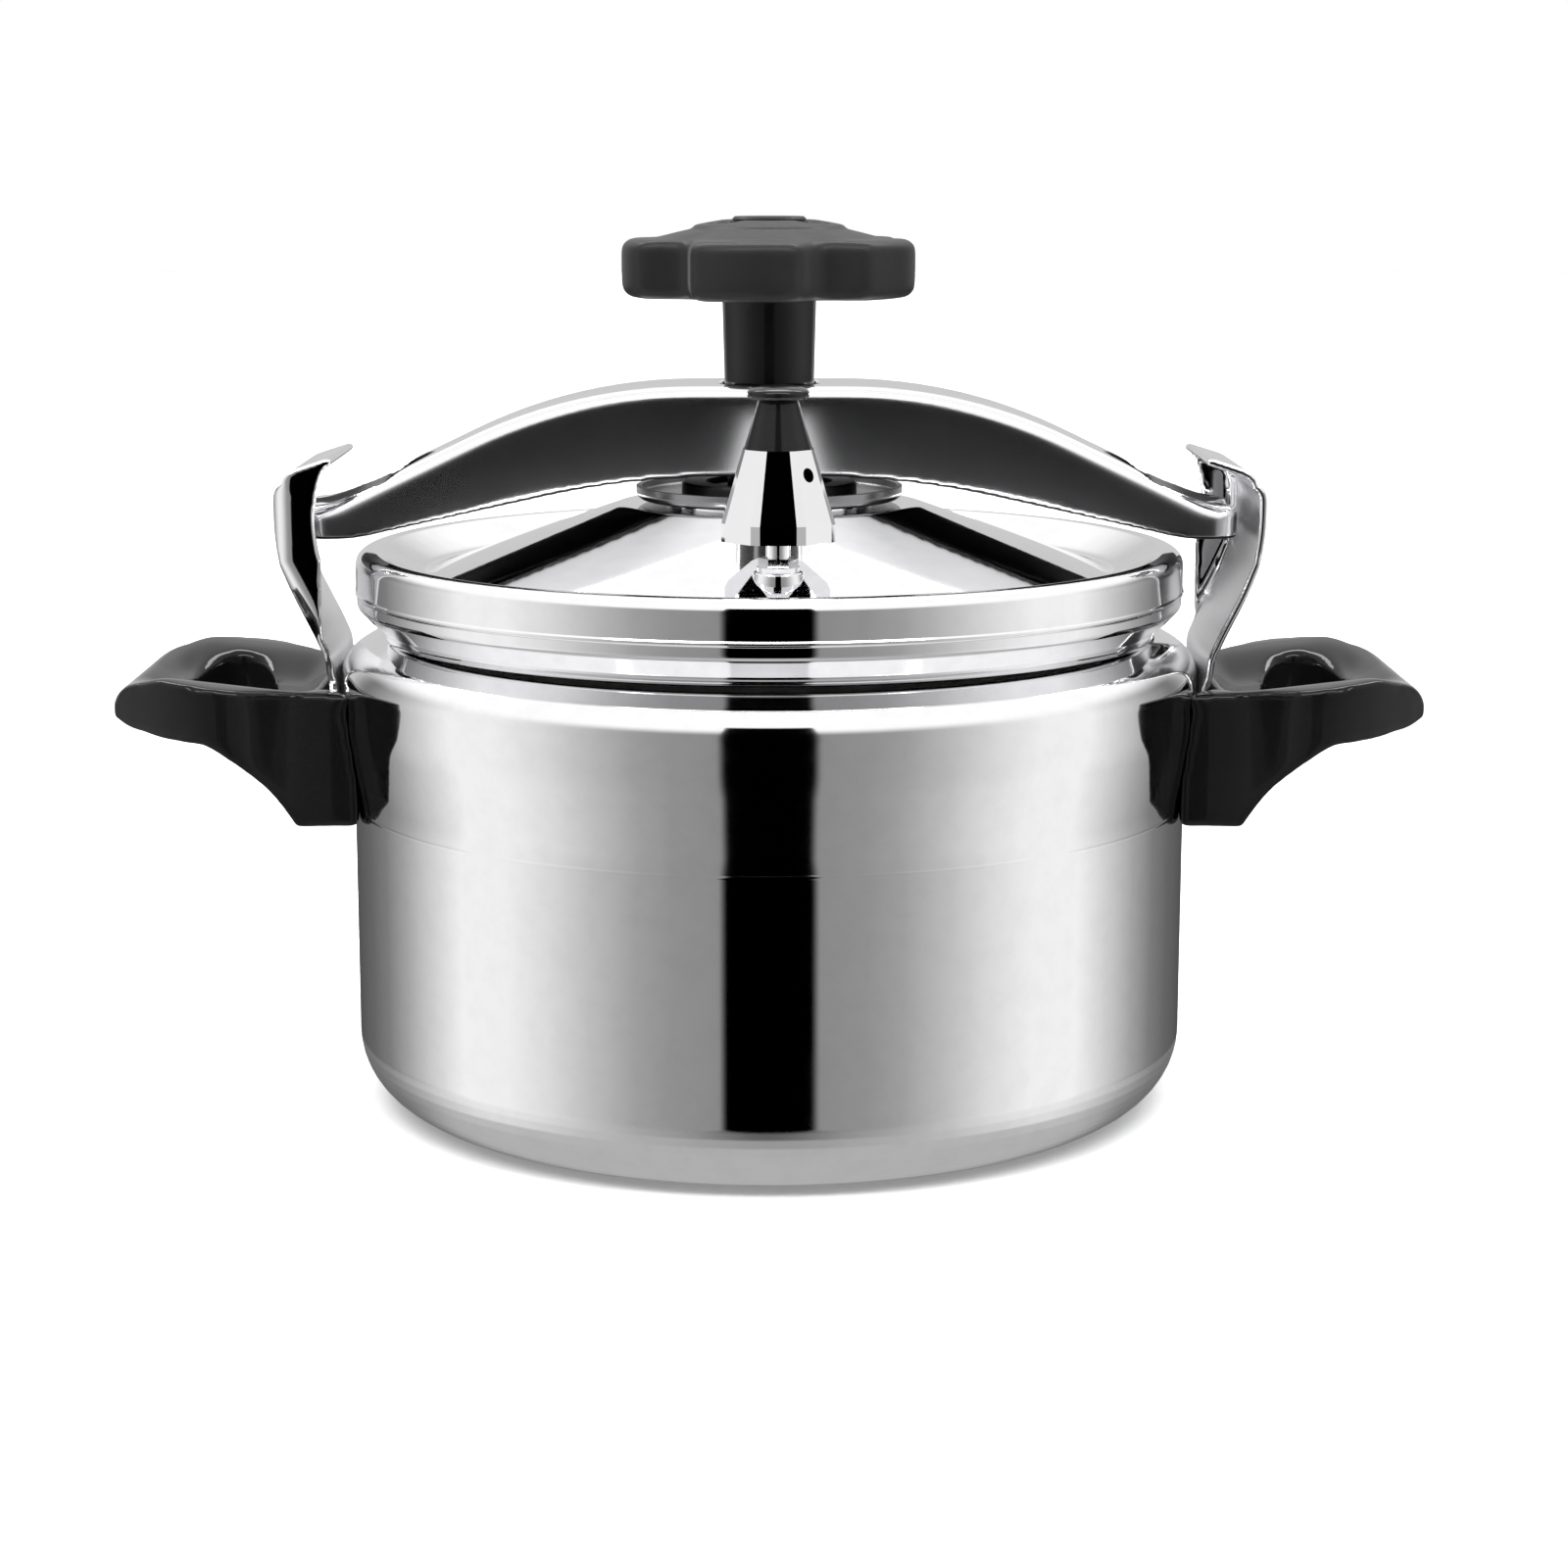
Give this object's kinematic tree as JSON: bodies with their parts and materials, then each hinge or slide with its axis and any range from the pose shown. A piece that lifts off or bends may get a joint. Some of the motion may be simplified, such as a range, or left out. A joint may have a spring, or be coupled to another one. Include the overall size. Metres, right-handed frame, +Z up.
{
  "type": "pressure canner",
  "caption": "Clamp-lid pressure canner: round metal pot with side handles, domed lid, weighted valve, and a knob-driven arched beam held under hooked brackets.",
  "frame": {"origin": "middle of the pot's flat base, on the surface it stands on", "axes": "+Z up, +X towards the right handle, -Y towards the weighted valve"},
  "size_m": [0.346, 0.226, 0.2321],
  "materials": {
    "pot_aluminium": "polished, finely turned",
    "lid_aluminium": "polished",
    "bracket_steel": "bright polished strip",
    "beam_steel": "bright polished",
    "rivet_aluminium": "satin",
    "handle_bakelite": "moulded, glossy black",
    "fixing_steel": "plated",
    "screw_steel": "machined, oiled",
    "gasket_rubber": "grey-white rubber",
    "plug_rubber": "black rubber",
    "plate_steel": "turned steel",
    "ring_black": "blackened steel",
    "valve_chrome": "bright",
    "hub_bakelite": "glossy black",
    "knob_bakelite": "satin dark grey",
    "weight_chrome": "bright",
    "grip_black": "glossy black"
  },
  "bodies": {
    "pot": {"pot_body": "pot_aluminium", "bracket_left": "bracket_steel", "bracket_right": "bracket_steel", "bracket_rivets_left": "rivet_aluminium", "bracket_rivets_right": "rivet_aluminium", "handle_left": "handle_bakelite", "handle_right": "handle_bakelite", "handle_nut_left": "fixing_steel", "handle_nut_right": "fixing_steel", "handle_washer_left": "fixing_steel", "handle_washer_right": "fixing_steel", "handle_screw_left": "fixing_steel", "handle_screw_right": "fixing_steel"},
    "lid": {"lid_cover": "lid_aluminium", "lid_gasket": "gasket_rubber", "plate_spacer": "lid_aluminium", "pressure_plate": "plate_steel", "plate_rivet": "rivet_aluminium", "retaining_ring": "ring_black", "vent_pipe": "valve_chrome", "vent_nut": "valve_chrome", "vent_seal": "gasket_rubber", "vent_locknut": "valve_chrome", "vent_strainer": "valve_chrome", "safety_plug": "plug_rubber"},
    "swivel": {"thrust_cup": "ring_black"},
    "beam": {"clamp_beam": "beam_steel", "bush_bridge": "fixing_steel", "threaded_bush": "fixing_steel"},
    "spindle": {"clamp_screw": "screw_steel", "knob_hub": "hub_bakelite", "knob": "knob_bakelite", "knob_nut": "fixing_steel", "knob_cap": "knob_bakelite"},
    "weight": {"weight_body": "weight_chrome", "weight_grip": "grip_black"}
  },
  "joints": [
    {"name": "lid_lift", "type": "slide", "parent": "pot", "child": "lid", "axis": [0, 0, 1], "range_m": [0, 0.0205]},
    {"name": "beam_swing", "type": "hinge", "parent": "lid", "child": "swivel", "pos_m": [0, 0, 0.1605], "axis": [0, 0, 1], "range_deg": [-55.2, 0]},
    {"name": "beam_rise", "type": "slide", "parent": "swivel", "child": "beam", "axis": [0, 0, 1], "range_m": [0, 0.0072]},
    {"name": "knob_turn", "type": "hinge", "parent": "swivel", "child": "spindle", "pos_m": [0, 0, 0.1642], "axis": [0, 0, 1], "range_deg": [-865, 0]},
    {"name": "weight_lift", "type": "slide", "parent": "lid", "child": "weight", "axis": [0, 0, 1], "range_m": [0, 0.025]}
  ],
  "couplings": [
    {"joint": "beam_swing", "follows": "lid_lift", "rad_per_m": -46.826},
    {"joint": "knob_turn", "follows": "beam_rise", "rad_per_m": -2094.4}
  ]
}
